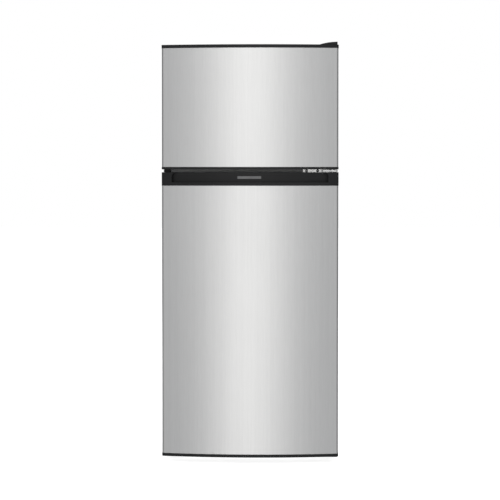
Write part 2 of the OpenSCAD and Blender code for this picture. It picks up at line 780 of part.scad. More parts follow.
module door_skin(z) difference() {
    door_slab(z, 1, liner_front);
    door_slab([z[0] - 1, z[1] + 1], 1 + skin_t, liner_front - skin_t);
    span([-half + 16, half - 16], [-20, 0], [z[0] - 1, z[1] + 1]);
}

// Back sheet of a door with the raised frame that holds its bins
module door_liner(z, opening, bins) {
    ring_z = [opening[0] + 12, opening[1] - 12];
    difference() {
        union() {
            span([-half + 3, half - 3], [liner_front, liner_back], z);
            along_y(liner_front, dyke_y) difference() {
                round_rect([-dyke_half, dyke_half], ring_z, 12);
                round_rect([-dyke_half + dyke_w, dyke_half - dyke_w],
                    [ring_z[0] + dyke_w, ring_z[1] - dyke_w], 8);
            }
        }
        dyke_core(z, opening, 2);
    }
    for (bin = bins, side = [-1, 1])
        span(side > 0 ? [bin_half + 1, dyke_half - dyke_w + 1] : [-dyke_half + dyke_w - 1, -bin_half - 1],
            [-6, 16], [bin[0] + bin[1] - 18, bin[0] + bin[1] - 6]);
}

module dyke_core(z, opening, wall) {
    ring_z = [opening[0] + 12, opening[1] - 12];
    along_y(liner_front - 1, dyke_y - wall) difference() {
        round_rect([-dyke_half + wall, dyke_half - wall], [ring_z[0] + wall, ring_z[1] - wall], 10);
        round_rect([-dyke_half + dyke_w - wall, dyke_half - dyke_w + wall],
            [ring_z[0] + dyke_w - wall, ring_z[1] - dyke_w + wall], 10);
    }
}

module door_foam(z, opening) {
    door_slab(z, 1 + skin_t, liner_front - skin_t);
    span([-half + 16, half - 16], [-20, liner_front], z);
    intersection() {
        dyke_core(z, opening, 2);
        span([-half, half], [liner_front, dyke_y], z);
    }
}

module door_gasket(opening_z) {
    x = [-gasket_half, gasket_half];
    z = [opening_z[0] - gasket_w, opening_z[1] + gasket_w];
    difference() {
        union() {
            gasket_ring(x, z, 0, liner_back, -9.5);
            gasket_ring(x, z, 5, -9.6, -4.4);
            gasket_ring(x, z, 2.5, -4.5, -0.4);
        }
        gasket_ring(x, z, 8, -8.6, -5);
    }
}

module gasket_ring(x, z, inset, y0, y1) along_y(y0, y1) difference() {
    round_rect([x[0] + inset, x[1] - inset], [z[0] + inset, z[1] - inset], 6);
    round_rect([x[0] + gasket_w - inset, x[1] - gasket_w + inset],
        [z[0] + gasket_w - inset, z[1] - gasket_w + inset], 3);
}

module door_bins(bins) for (bin = bins) {
    z = [bin[0], bin[0] + bin[1]];
    difference() {
        rising(z[0], bin[1]) bin_plan(0);
        rising(z[0] + 2.5, bin[1]) bin_plan(2.4);
        // the rear wall is lower than the front one
        span([-bin_half + 20, bin_half - 20], [bin_back - 1, bin_back + 3], [z[0] + 40, z[1] + 1]);
    }
    for (side = [-1, 1])
        span(side > 0 ? [bin_half - 1, bin_half + 6] : [-bin_half - 6, -bin_half + 1], [bin_back, 40],
            [z[1] - 6, z[1]]);
}

module bin_plan(inset) {
    x = bin_half - inset;
    translate([-x, bin_back + inset]) square([2 * x, 40]);
    round_rect([-x, x], [bin_back + inset, bin_y - inset], 18 - inset);
}

module pin_boss(z0, z1) post(12, pin_x, pin_y, [z0, z1]);
module pin_bore(z0, z1) post(pin_r + run, pin_x, pin_y, [z0, z1]);

fridge_skin_z = [fridge_door[0] + fridge_base_h, fridge_door[1] - handle_h];
freezer_skin_z = [freezer_door[0] + freezer_base_h, freezer_door[1] - top_cap_h];
fridge_open = [fridge_z, fridge_top];
freezer_open = [freezer_z, freezer_top];

module fridge_door_skin() color("#c5c7c9") from_face() door_skin(fridge_skin_z);
module freezer_door_skin() color("#c5c7c9") from_face() door_skin(freezer_skin_z);

module fridge_door_liner() color("#f4f5f5") from_face()
    door_liner([fridge_door[0] + 6, fridge_door[1] - 4], fridge_open, fridge_bins);

module freezer_door_liner() color("#f4f5f5") from_face()
    door_liner([freezer_door[0] + 4, freezer_door[1] - 5], freezer_open, freezer_bins);

module fridge_door_foam() color("#e8d9a8") from_face() difference() {
    door_foam(fridge_skin_z, fridge_open);
    pocket_body();
    pin_boss(0, door_clearance + boss_h);
    pin_boss(fridge_door[1] - boss_h - 60, 2000);
}

module freezer_door_foam() color("#e8d9a8") from_face() difference() {
    door_foam(freezer_skin_z, freezer_open);
    grip_body();
    pin_boss(0, freezer_door[0] + boss_h);
    pin_boss(freezer_door[1] - boss_h, 2000);
}

module fridge_door_gasket() color("#d9dadb") from_face() door_gasket(fridge_open);
module freezer_door_gasket() color("#d9dadb") from_face() door_gasket(freezer_open);

// Part of the handle cap that reaches down inside the door behind the skin
module pocket_body() intersection() {
    difference() {
        door_slab([fridge_skin_z[1] - 18, fridge_skin_z[1] + 1], 1 + skin_t, liner_front - 4);
        door_slab([0, 2000], recess_depth + 3, 0);
    }
    span([-recess_half - 3, recess_half + 3], [-200, 0], [0, 2000]);
}

module handle_cap() color("#2a2b2d") from_face() difference() {
    union() {
        door_slab([fridge_skin_z[1], fridge_door[1]], 0, liner_front);
        pocket_body();
        pin_boss(fridge_skin_z[1] - 6, fridge_door[1]);
    }
    // finger pocket behind the lip
    intersection() {
        difference() {
            door_slab([fridge_skin_z[1] - 16, fridge_door[1]], 4.5, 0);
            door_slab([0, 2000], recess_depth, 1);
        }
        span([-recess_half, recess_half], [-200, 0], [fridge_skin_z[1] - 16, fridge_skin_z[1] + lip_h + 1]);
    }
    // open recess above the lip
    difference() {
        along_y(-200, 0) recess_outline();
        door_slab([0, 2000], recess_depth, 1);
    }
    pin_bore(fridge_door[1] - 20, fridge_door[1] + 1);
}

// Front view of the recess, with rounded upper corners
module recess_outline() {
    z = [fridge_skin_z[1] + lip_h, fridge_door[1]];
    translate([-recess_half, z[0]]) square([2 * recess_half, z[1] - z[0] - 14]);
    translate([-recess_half + 14, z[0]]) square([2 * recess_half - 28, z[1] - z[0] + 1]);
    for (side = [-1, 1]) translate([side * (recess_half - 14), z[1] - 14]) circle(14);
}

module badge_plate() color("#8f9396") from_face() difference() {
    intersection() {
        door_slab([0, 2000], recess_depth - 1.2, 0);
        span([-42, 38], [-200, -30], [fridge_door[1] - 22, fridge_door[1] - 13]);
    }
    door_slab([0, 2000], recess_depth, 1);
}

module fridge_door_bottom_cap() color("#1f2022") from_face() difference() {
    union() {
        door_slab([fridge_door[0], fridge_skin_z[0]], 0, liner_front);
        pin_boss(fridge_door[0], fridge_door[0] + boss_h);
    }
    pin_bore(0, fridge_door[0] + boss_h - 2);
}

// Finger groove under the freezer door, with its walls inside the door
module grip_zone(front, rear, x, z) intersection() {
    difference() {
        door_slab(z, front, 0);
        door_slab([0, 2000], rear, 1);
    }
    span([-x, x], [-200, 0], z);
}

module grip_body()
    grip_zone(1 + skin_t, 25, grip_half + 3, [freezer_door[0] + 4, freezer_skin_z[0] + 12]);

module freezer_door_bottom_cap() color("#232426") from_face() difference() {
    union() {
        door_slab([freezer_door[0], freezer_skin_z[0]], 0, liner_front);
        grip_body();
        pin_boss(freezer_door[0], freezer_door[0] + boss_h);
    }
    grip_zone(5, 22, grip_half, [freezer_door[0] - 1, freezer_skin_z[0] + 9]);
    pin_bore(0, freezer_door[0] + boss_h - 2);
}

module freezer_door_top_cap() color("#232426") from_face() difference() {
    union() {
        door_slab([freezer_skin_z[1], freezer_door[1]], 0, liner_front);
        pin_boss(freezer_door[1] - boss_h, freezer_door[1]);
    }
    pin_bore(freezer_door[1] - boss_h + 2, 2000);
}

module fridge_door_bins() color([0.9, 0.93, 0.95, 0.7]) from_face() door_bins(fridge_bins);
module freezer_door_bins() color([0.9, 0.93, 0.95, 0.7]) from_face() door_bins(freezer_bins);

outer_case();
back_panel();
bottom_pan();
cabinet_foam();
fridge_liner();
freezer_liner();
center_rail();
base_frame();
compressor_tray();
compressor();
compressor_grommets();
terminal_cover();
drain_pan();
drain_tube();
condenser_tube();
condenser_wires();
discharge_line();
suction_line();
power_gland();
evaporator_coil();
evaporator_cover();
fan_motor();
evaporator_fan();
defrost_heater();
air_duct();
control_housing();
light_cover();
lamp();
temperature_knob();
glass_shelves();
shelf_frames();
crisper_cover();
crisper_drawer();
freezer_shelf();
airflow_slider();
top_hinge();
top_hinge_cover();
middle_hinge();
lower_hinge();
hinge_screws();
left_hinge_cover();
foot_left();
foot_right();
roller_left();
roller_right();
fridge_door_skin();
fridge_door_foam();
fridge_door_liner();
fridge_door_gasket();
handle_cap();
fridge_door_bottom_cap();
fridge_door_bins();
badge_plate();
freezer_door_skin();
freezer_door_foam();
freezer_door_liner();
freezer_door_gasket();
freezer_door_top_cap();
freezer_door_bottom_cap();
freezer_door_bins();
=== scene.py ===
# %% [markdown]
# # A top-freezer refrigerator
# This lesson dresses a finished set of exact solids, the frame, in believable finishes.
# The frame holds every sheet, hinge and moulding at its true size, so nothing here decides
# a dimension. It is loaded once, and each piece is then either given a material or, where
# a plain solid is too coarse, replaced by a finer mesh that keeps to the same room.

# %% Load the frame
import json
import math

import bmesh
import bpy
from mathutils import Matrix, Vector


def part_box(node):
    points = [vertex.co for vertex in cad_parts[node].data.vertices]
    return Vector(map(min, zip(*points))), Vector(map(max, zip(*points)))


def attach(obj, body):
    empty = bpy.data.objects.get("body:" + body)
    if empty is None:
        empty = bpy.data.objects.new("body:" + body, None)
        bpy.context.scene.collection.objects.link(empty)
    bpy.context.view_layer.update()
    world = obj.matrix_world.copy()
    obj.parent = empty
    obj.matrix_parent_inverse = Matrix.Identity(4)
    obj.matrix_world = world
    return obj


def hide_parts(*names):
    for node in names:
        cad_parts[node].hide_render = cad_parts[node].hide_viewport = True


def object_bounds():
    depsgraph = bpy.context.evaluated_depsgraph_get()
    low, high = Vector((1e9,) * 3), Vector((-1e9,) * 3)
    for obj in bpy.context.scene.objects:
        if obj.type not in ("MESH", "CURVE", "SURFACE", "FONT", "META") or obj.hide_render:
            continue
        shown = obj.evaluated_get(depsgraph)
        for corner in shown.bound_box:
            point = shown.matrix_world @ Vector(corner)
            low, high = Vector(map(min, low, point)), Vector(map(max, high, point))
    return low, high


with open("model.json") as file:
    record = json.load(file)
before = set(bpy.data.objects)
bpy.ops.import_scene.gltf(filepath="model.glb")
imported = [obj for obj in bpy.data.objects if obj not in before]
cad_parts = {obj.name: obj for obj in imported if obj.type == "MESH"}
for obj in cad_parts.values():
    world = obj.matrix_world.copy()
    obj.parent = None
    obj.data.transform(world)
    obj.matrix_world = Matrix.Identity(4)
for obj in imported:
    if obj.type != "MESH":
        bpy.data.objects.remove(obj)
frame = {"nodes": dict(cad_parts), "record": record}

cad_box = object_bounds()
nodes = frame["nodes"]
MM = 0.001
print("frame size in metres:", [round(v, 4) for v in cad_box[1] - cad_box[0]])

# %% [markdown]
# ## Sockets that do sums
# A material is a small program. Wiring each Math node by hand hides the sum it does, so a
# socket is wrapped in a class with Python's operators: `0.3 + 0.1 * grain` then adds the
# two nodes itself. The reflected forms are what let a plain number stand on the left.

# %% A socket wrapper
class Wire:
    """A shader output that can be used in Python sums."""

    def __init__(self, board, socket):
        self.board = board
        self.socket = socket

    def sum_of(self, operation, first, second):
        return self.board.node("ShaderNodeMath", {"operation": operation}, {0: first, 1: second})

    def __add__(self, other):
        return self.sum_of("ADD", self, other)

    def __radd__(self, other):
        return self.sum_of("ADD", other, self)

    def __sub__(self, other):
        return self.sum_of("SUBTRACT", self, other)

    def __rsub__(self, other):
        return self.sum_of("SUBTRACT", other, self)

    def __mul__(self, other):
        return self.sum_of("MULTIPLY", self, other)

    def __rmul__(self, other):
        return self.sum_of("MULTIPLY", other, self)


# %% [markdown]
# Every other node comes from one method, for materials and for the world alike. It sets the
# node's own settings first, because some of them change which sockets the node has.

# %% A board that nodes are placed on
class Board:
    """A node tree; node() adds to it and gives back a wire."""

    def __init__(self, tree):
        self.tree = tree

    def node(self, kind, settings=None, inputs=None, output=0):
        made = self.tree.nodes.new(kind)
        for key, value in (settings or {}).items():
            setattr(made, key, value)
        for key, value in (inputs or {}).items():
            self.plug(made.inputs[key], value)
        return Wire(self, made.outputs[output]) if made.outputs else made

    def plug(self, socket, value):
        if isinstance(value, Wire):
            self.tree.links.new(value.socket, socket)
        else:
            socket.default_value = value


# %% [markdown]
# ## One class for every finish
# Each finish is a Principled shader with patterns laid in the piece's own coordinates, so a
# grain stays on a door as the door swings. What is the same all over is set on the shader's
# socket, and only what changes over the surface is wired: colour, roughness and normal.
# The Bevel node under the bump makes edges catch light as if they were rounded.

# %% The finish class
class Finish(Board):
    """A node material made of noises, mixes and relief."""

    def __init__(self, name, **same_all_over):
        self.material = bpy.data.materials.new(name)
        self.material.use_nodes = True
        super().__init__(self.material.node_tree)
        self.shader = self.tree.nodes["Principled BSDF"]
        for socket, value in same_all_over.items():
            self.shader.inputs[socket.replace("_", " ")].default_value = value
        self.room = self.node("ShaderNodeTexCoord", output="Object")

    def noise(self, per_metre, detail=2.0, stretch=(1, 1, 1)):
        """Cloudy pattern from 0 to 1, with about this many blots per metre along each axis."""
        scaled = self.node(
            "ShaderNodeVectorMath",
            {"operation": "MULTIPLY"},
            {0: self.room, 1: tuple(per_metre * s for s in stretch)},
        )
        return self.node("ShaderNodeTexNoise", {}, {"Vector": scaled, "Scale": 1.0, "Detail": detail})

    def between(self, value, low, high):
        """0 below low, 1 above high and a smooth step in the middle."""
        return self.node(
            "ShaderNodeMapRange",
            {"interpolation_type": "SMOOTHSTEP"},
            {"Value": value, "From Min": low, "From Max": high},
        )

    def mix(self, share, first, second):
        """The first colour where share is 0, the second where it is 1."""
        first = first if isinstance(first, Wire) else (*first, 1)
        second = second if isinstance(second, Wire) else (*second, 1)
        return self.node("ShaderNodeMix", {"data_type": "RGBA"}, {0: share, 6: first, 7: second}, 2)

    def colour(self, wire):
        self.plug(self.shader.inputs["Base Color"], wire)
        return self

    def rough(self, wire):
        self.plug(self.shader.inputs["Roughness"], wire)
        return self

    def relief(self, height, depth, edge=0.0008):
        """Raised and sunk detail, on top of corners that look rounded by the given radius."""
        rounded = self.node("ShaderNodeBevel", {"samples": 3}, {"Radius": edge})
        bump = self.node(
            "ShaderNodeBump", {}, {"Height": height, "Distance": depth, "Normal": rounded}
        )
        self.plug(self.shader.inputs["Normal"], bump)
        return self


# %% [markdown]
# ## Brushed stainless doors
# The door fronts are sheet steel drawn past an abrasive belt from top to bottom. The belt
# leaves hair-fine scratches a few centimetres long. Anisotropic shading could fake them,
# but real streaks also vary in tone, so the pattern here is noise pulled out along Z: one
# fine layer that scatters light sideways, and one broad layer that the eye can see.

# %% Door steel
def brushed_steel(name="brushed_stainless"):
    steel = Finish(name, Metallic=1.0)
    hair = steel.noise(1500, 3, (1, 1, 0.012))
    band = steel.noise(140, 3, (1, 1, 0.006))
    cloud = steel.noise(2.2, 2)
    tone = 0.6 * hair + 0.25 * band + 0.15 * cloud
    steel.colour(steel.mix(steel.between(tone, 0.2, 0.8), (0.555, 0.56, 0.565), (0.635, 0.64, 0.645)))
    steel.rough(0.3 + 0.1 * hair + 0.04 * cloud)
    return steel.relief(0.7 * hair + 0.3 * band, 0.00006, 0.0012).material


STAINLESS = brushed_steel()
print("made", STAINLESS.name)

# %% [markdown]
# ## Moulded plastics
# Door caps, the liner, bins and knobs are all moulded, and differ by colour, by how fine the
# mould's etching is and by gloss. One function makes them all. Two noises are enough: the
# etched grain goes to the bump, and a slow cloud shifts tone and gloss the way handling does.

# %% A moulding recipe
def moulded(name, dark, light, gloss, grain, depth, **same_all_over):
    plastic = Finish(name, **same_all_over)
    etch = plastic.noise(grain, 3)
    cloud = plastic.noise(5, 3)
    tone = plastic.between(0.8 * cloud + 0.2 * etch, 0.3, 0.7)
    plastic.colour(plastic.mix(tone, dark, light))
    plastic.rough(gloss + 0.1 * (cloud - 0.5) + 0.06 * (etch - 0.5))
    return plastic.relief(etch, depth).material


CAP_BLACK = moulded(
    "satin_black_moulding", (0.0045, 0.0049, 0.0055), (0.0095, 0.0101, 0.011), 0.42, 1300, 0.00007,
    Specular_IOR_Level=0.24,
)
BLACK_PLASTIC = moulded("black_moulding", (0.012, 0.012, 0.013), (0.026, 0.026, 0.028), 0.46, 900, 0.0001)
LINER_WHITE = moulded("liner_sheet", (0.81, 0.82, 0.825), (0.86, 0.865, 0.87), 0.3, 520, 0.000012)
WHITE_PLASTIC = moulded("white_moulding", (0.76, 0.77, 0.775), (0.85, 0.855, 0.86), 0.36, 1100, 0.00005)
WHITE_WIRE = moulded("dipped_white_wire", (0.78, 0.79, 0.79), (0.88, 0.885, 0.885), 0.3, 420, 0.00012)
RUBBER = moulded("black_rubber", (0.014, 0.014, 0.015), (0.036, 0.036, 0.037), 0.74, 1600, 0.00012)
GASKET = moulded("grey_seal_vinyl", (0.36, 0.37, 0.38), (0.47, 0.48, 0.49), 0.55, 700, 0.00005)
print("made seven plain mouldings")

# %% [markdown]
# ## Painted and plated steel
# The wrapped case is painted with a fine stipple that hides fingerprints. Brackets are zinc
# plated and the lower hinge is black enamel. Paint is a moulding recipe with a thin coat on
# top. Plating is bare metal, so it gets a recipe of its own, with stains and long scratches.

# %% Case paint and plated brackets
CASE_PAINT = moulded(
    "stippled_case_paint", (0.345, 0.353, 0.36), (0.369, 0.377, 0.384), 0.47, 620, 0.00016,
    Coat_Weight=0.08,
)
RAIL_PAINT = moulded("rail_paint", (0.4, 0.41, 0.415), (0.46, 0.465, 0.47), 0.38, 300, 0.00004)
BLACK_ENAMEL = moulded(
    "black_enamel", (0.012, 0.012, 0.013), (0.022, 0.022, 0.024), 0.27, 170, 0.00012, Coat_Weight=0.3
)


def plated(name, dark, light, gloss, across=0.3):
    metal = Finish(name, Metallic=1.0)
    stain = metal.noise(24, 4)
    scratch = metal.noise(420, 3, (1, across, 0.08))
    metal.colour(metal.mix(metal.between(0.65 * stain + 0.35 * scratch, 0.3, 0.7), dark, light))
    metal.rough(gloss + 0.16 * (stain - 0.5) + 0.1 * scratch)
    return metal.relief(scratch, 0.00006, 0.0005).material


ZINC = plated("bright_zinc", (0.5, 0.51, 0.52), (0.72, 0.72, 0.715), 0.24)
BADGE_METAL = plated("badge_metal", (0.1, 0.102, 0.105), (0.16, 0.162, 0.165), 0.36, 0.02)
ALUMINIUM = plated("mill_aluminium", (0.66, 0.67, 0.68), (0.8, 0.805, 0.81), 0.26)
print("made paints and platings")

# %% [markdown]
# The hidden sheets are dipped in molten zinc, which sets in frosty crystals a centimetre
# across. Cloudy noise has no straight edges, but the cells of a Voronoi texture do, and each
# cell has one random tone of its own, just as each crystal mirrors the room its own way.

# %% Galvanised sheet
def galvanised():
    sheet = Finish("galvanised_sheet", Metallic=0.9)
    crystal = sheet.node(
        "ShaderNodeTexVoronoi", {"feature": "F1"}, {"Vector": sheet.room, "Scale": 95.0}, "Color"
    )
    facet = sheet.node("ShaderNodeSeparateColor", {}, {0: crystal})
    stain = sheet.noise(7, 4)
    tone = 0.6 * facet + 0.4 * stain
    sheet.colour(sheet.mix(tone, (0.4, 0.415, 0.43), (0.62, 0.63, 0.64)))
    sheet.rough(0.34 + 0.2 * facet)
    return sheet.relief(stain, 0.0002, 0.0006).material


GALVANISED = galvanised()
print("made", GALVANISED.name)

# %% [markdown]
# ## Copper, glass, clear plastic and foam
# Copper tube dulls from pink to brown in patches and is brightest where it was soldered.
# Shelf glass is clear with a green cast, and clear bins are polystyrene with a faint ripple.
# Both let light through by the shader's transmission, which needs no second shader. The foam is sealed
# inside the walls, but its cells are made all the same, with a Voronoi's distance that also paints shade
# into each cell's pit.

# %% Tube, clear and foam finishes
def aged_copper():
    copper = Finish("aged_copper", Metallic=1.0)
    patch = copper.noise(38, 5)
    fresh = copper.between(copper.noise(9, 2), 0.4, 0.62)
    dull = copper.mix(patch, (0.36, 0.15, 0.075), (0.58, 0.27, 0.15))
    copper.colour(copper.mix(fresh, dull, (0.83, 0.44, 0.28)))
    copper.rough(0.42 - 0.16 * fresh + 0.12 * patch)
    return copper.relief(patch, 0.00012, 0.0004).material


def see_through(name, tint, edge_tint, gloss, ripple, **same_all_over):
    clear = Finish(name, Transmission_Weight=0.86, **same_all_over)
    wave = clear.noise(ripple, 2)
    cloud = clear.noise(3, 2)
    clear.colour(clear.mix(clear.between(cloud, 0.3, 0.7), tint, edge_tint))
    clear.rough(gloss + 0.06 * wave)
    return clear.relief(wave, 0.00006, 0.0008).material


def cut_foam():
    foam = Finish("urethane_foam")
    cell = foam.node(
        "ShaderNodeTexVoronoi", {"feature": "F1"}, {"Vector": foam.room, "Scale": 420.0}, "Distance"
    )
    cloud = foam.noise(11, 4)
    # The colour darkens at each cell's centre, where the bump sinks: painted shade in the cell pits, over
    # a random cloud of tone.
    foam.colour(foam.mix(0.5 * cell + 0.5 * cloud, (0.56, 0.42, 0.2), (0.8, 0.69, 0.44)))
    foam.rough(0.8 + 0.15 * cell)
    return foam.relief(cell, 0.0006, 0.001).material


COPPER = aged_copper()
GLASS = see_through("tempered_shelf_glass", (0.83, 0.94, 0.9), (0.89, 0.97, 0.94), 0.02, 6, IOR=1.5)
CLEAR = see_through("clear_styrene", (0.86, 0.91, 0.93), (0.92, 0.95, 0.965), 0.12, 45, IOR=1.45)
FOAM = cut_foam()
print("made copper, glass, clear plastic and foam")


# %% [markdown]
# The lamp bulb has a milky coat that is brightest in the middle of the glass, so its glow
# is wired to a slow cloud and stays far below what would light the room.

# %% Lamp glass
def milky_bulb():
    bulb = Finish("milky_bulb", Emission_Strength=0.25)
    coat = bulb.noise(90, 3)
    bulb.colour(bulb.mix(coat, (0.82, 0.8, 0.74), (0.93, 0.91, 0.85)))
    bulb.plug(bulb.shader.inputs["Emission Color"], bulb.mix(coat, (0.9, 0.82, 0.6), (1.0, 0.93, 0.75)))
    bulb.rough(0.22 + 0.1 * coat)
    return bulb.relief(coat, 0.00003).material


LAMP = milky_bulb()
print("made", LAMP.name)

# %% [markdown]
# ## Hand the finishes out
# The frame's record says which material slot each node uses, so a table from slot to finish
# dresses all sixty nodes in one loop. Two exceptions come afterwards: the door mouldings are
# blacker than the other plastics, and the bottom pan is painted like the case around it.

# %% Dress every node
FINISH_OF_SLOT = {
    "case_paint": CASE_PAINT,
    "galvanised": GALVANISED,
    "rail_paint": RAIL_PAINT,
    "stainless": STAINLESS,
    "zinc": ZINC,
    "black_steel": BLACK_ENAMEL,
    "black_plastic": BLACK_PLASTIC,
    "liner_white": LINER_WHITE,
    "white_plastic": WHITE_PLASTIC,
    "white_wire": WHITE_WIRE,
    "clear_plastic": CLEAR,
    "shelf_glass": GLASS,
    "foam": FOAM,
    "gasket": GASKET,
    "black_rubber": RUBBER,
    "copper": COPPER,
    "aluminium": ALUMINIUM,
    "lamp_glass": LAMP,
    "plate_metal": BADGE_METAL,
}
DOOR_MOULDINGS = (
    "handle_cap", "fridge_door_bottom_cap", "freezer_door_bottom_cap", "freezer_door_top_cap",
    "top_hinge_cover", "left_hinge_cover",
)


def dress(obj, material):
    for place in obj.material_slots:
        place.link = "OBJECT"
        place.material = material


for part in frame["record"]["subparts"]:
    dress(nodes[part["node"]], FINISH_OF_SLOT[part["material_slot"]])
for name in DOOR_MOULDINGS:
    dress(nodes[name], CAP_BLACK)
dress(nodes["bottom_pan"], CASE_PAINT)

# %% [markdown]
# ## Adding pieces
# Every new piece is a mesh or a curve drawn straight in the frame's coordinates, so its object stays at
# the origin. The helper gives it a finish, ties it to the body that it rides on and hides the node that
# it stands for. That node still collides.

# %% Helpers that add a piece
def settle(obj, material, body, stands_for=()):
    bpy.context.scene.collection.objects.link(obj)
    obj.data.materials.append(material)
    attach(obj, body)
    if stands_for:
        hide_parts(*stands_for)
    return obj


def mesh_piece(name, shape, material, body, stands_for=(), smooth=True):
    """Turns a bmesh into a piece; its normals are made to face outwards."""
    bmesh.ops.recalc_face_normals(shape, faces=shape.faces)
    mesh = bpy.data.meshes.new(name)
    shape.to_mesh(mesh)
    shape.free()
    for face in mesh.polygons:
        face.use_smooth = smooth
    if smooth:
        mesh.set_sharp_from_angle(angle=math.radians(38))
    return settle(bpy.data.objects.new(name, mesh), material, body, stands_for)


print("ready to add pieces")

# %% [markdown]
# ## Door gaskets
# A refrigerator seal is an extruded vinyl strip: a flat base that snaps to the door, two
# soft bellows walls, and a tube at the front that holds the magnet. Four lengths are cut at
# 45 degrees and welded, so the true corner is a mitre. Drawing the section once and placing
# it at the four mitres gives exactly that, which a ring of round corners would not.

# %% Two seals
SEAL_WIDTH = 26 * MM
SEAL_SECTION = (
    (0, 0), (1, 0), (1, 0.17), (0.84, 0.22), (0.76, 0.36), (0.85, 0.5), (0.8, 0.62), (0.87, 0.68),
    (0.9, 0.84), (0.86, 0.96), (0.78, 1), (0.22, 1), (0.14, 0.96), (0.1, 0.84), (0.13, 0.68),
    (0.2, 0.62), (0.15, 0.5), (0.24, 0.36), (0.16, 0.22), (0, 0.17),
)


def seal(node, body):
    low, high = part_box(node)
    thick = high.y - low.y
    shape = bmesh.new()
    rings = []
    for x, z, inx, inz in (
        (low.x, low.z, 1, 1), (high.x, low.z, -1, 1), (high.x, high.z, -1, -1), (low.x, high.z, 1, -1)
    ):
        rings.append([
            shape.verts.new((x + inx * u * SEAL_WIDTH, low.y + v * thick, z + inz * u * SEAL_WIDTH))
            for u, v in SEAL_SECTION
        ])
    count = len(SEAL_SECTION)
    for here, after in zip(rings, rings[1:] + rings[:1]):
        for i in range(count):
            k = (i + 1) % count
            shape.faces.new((here[i], here[k], after[k], after[i]))
    return mesh_piece(node + "_seal", shape, GASKET, body, (node,))


for node, body in (("fridge_door_gasket", "fridge_door"), ("freezer_door_gasket", "freezer_door")):
    made = seal(node, body)
    print("made", made.name, "with", len(made.data.polygons), "faces")

# %% [markdown]
# ## Hinge screws
# Seven pan-head screws hold the hinges. The head is a low dome with a cross-shaped socket.
# A boolean cut could make the cross, but pressing rings of points down inside a cross-shaped
# zone keeps the mesh regular and needs no second object.

# %% A cross-recess screw
HEAD_R = 5 * MM
HEAD_H = 2.8 * MM
HEAD_RINGS = 12


def add_screw(shape, foot, axis):
    """A pan head that stands on the point foot and faces along axis."""
    axis = Vector(axis)
    side = axis.orthogonal().normalized()
    other = axis.cross(side)
    rings = []
    segments = 40
    for step in range(HEAD_RINGS + 1):
        share = step / HEAD_RINGS
        ring = []
        for i in range(segments):
            angle = 2 * math.pi * i / segments
            u = math.cos(angle) * share
            v = math.sin(angle) * share
            in_cross = min(abs(u), abs(v)) < 0.11 and max(abs(u), abs(v)) < 0.52
            height = HEAD_H * math.sqrt(1 - (0.92 * share) ** 2.6) if share < 1 else 0
            sunk = height - 0.55 * HEAD_H if in_cross else height
            spot = Vector(foot) + (side * u + other * v) * HEAD_R + axis * max(sunk, 0)
            ring.append(shape.verts.new(spot))
        rings.append(ring)
    for inner, outer in zip(rings[1:], rings[2:]):
        for i in range(segments):
            k = (i + 1) % segments
            shape.faces.new((inner[i], inner[k], outer[k], outer[i]))
    shape.faces.new(rings[1])
    for vert in rings[0]:
        shape.verts.remove(vert)


print("a screw head is", round(2 * HEAD_R / MM, 1), "mm across")

# %% [markdown]
# The screws go where the frame has its plain ones. Those on the middle and lower hinges are
# measured from the innermost screw, and those on the top hinge from the cabinet's face.

# %% Where the heads stand
TOP_SCREWS = (18 * MM, 44 * MM)
MIDDLE_SCREWS = (0, 38 * MM)
LOWER_SCREWS = (10 * MM, 36 * MM, 68 * MM)
PLATE_THICK = 2.5 * MM


def screw_feet():
    """The point under each head and the way it faces, from the boxes of the hinges."""
    top_low, top_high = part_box("top_hinge")
    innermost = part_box("hinge_screws")[0] + Vector((HEAD_R, 0, HEAD_R))
    face_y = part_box("middle_hinge")[1].y
    plate_y = face_y - PLATE_THICK
    split = (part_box("fridge_door_liner")[1].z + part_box("freezer_door_liner")[0].z) / 2
    x_top = (top_low.x + top_high.x) / 2 + 6 * MM
    feet = [((x_top, face_y + y, top_high.z), (0, 0, 1)) for y in TOP_SCREWS]
    feet += [((innermost.x + x, plate_y, split), (0, -1, 0)) for x in MIDDLE_SCREWS]
    feet += [((innermost.x + x, plate_y, innermost.z), (0, -1, 0)) for x in LOWER_SCREWS]
    return feet


screws = bmesh.new()
for foot, axis in screw_feet():
    add_screw(screws, foot, axis)
made = mesh_piece("cross_recess_screws", screws, ZINC, "cabinet", ("hinge_screws",))
print("made", made.name, "with", len(made.data.polygons), "faces")

# %% [markdown]
# ## Condenser
# The black grid on the back is one long tube bent to and fro, with steel wires spot-welded
# across both sides to shed heat. Curves suit it better than meshes: a route is a list of
# points, its corners become arcs, and the curve's bevel gives it thickness.

# %% Helpers for tube and wire
def round_bends(points, bend, steps=6):
    """The same route with each corner swapped for an arc that starts at most bend before it."""
    points = [Vector(p) for p in points]
    route = [points[0]]
    for before, corner, after in zip(points, points[1:], points[2:]):
        into = before - corner
        out = after - corner
        cut = min(bend, into.length / 2, out.length / 2)
        start = corner + into.normalized() * cut
        end = corner + out.normalized() * cut
        for i in range(steps + 1):
            t = i / steps
            route.append(start * (1 - t) ** 2 + corner * 2 * t * (1 - t) + end * t * t)
    return route + [points[-1]]


def tube_piece(name, routes, radius, material, body, stands_for=()):
    """Round tubes or wires along one or more routes, as a single curve object."""
    curve = bpy.data.curves.new(name, "CURVE")
    curve.dimensions = "3D"
    curve.bevel_depth = radius
    curve.bevel_resolution = 3
    curve.use_fill_caps = True
    for route in routes:
        spline = curve.splines.new("POLY")
        spline.points.add(len(route) - 1)
        for point, place in zip(spline.points, route):
            point.co = (*place, 1)
    return settle(bpy.data.objects.new(name, curve), material, body, stands_for)


print("ready to bend tube")

# %% [markdown]
# The tube starts low, crosses from side to side and ends high. A loop writes the two ends of
# each pass, and the rounding of the corners then turns every pair of ends into a hairpin.

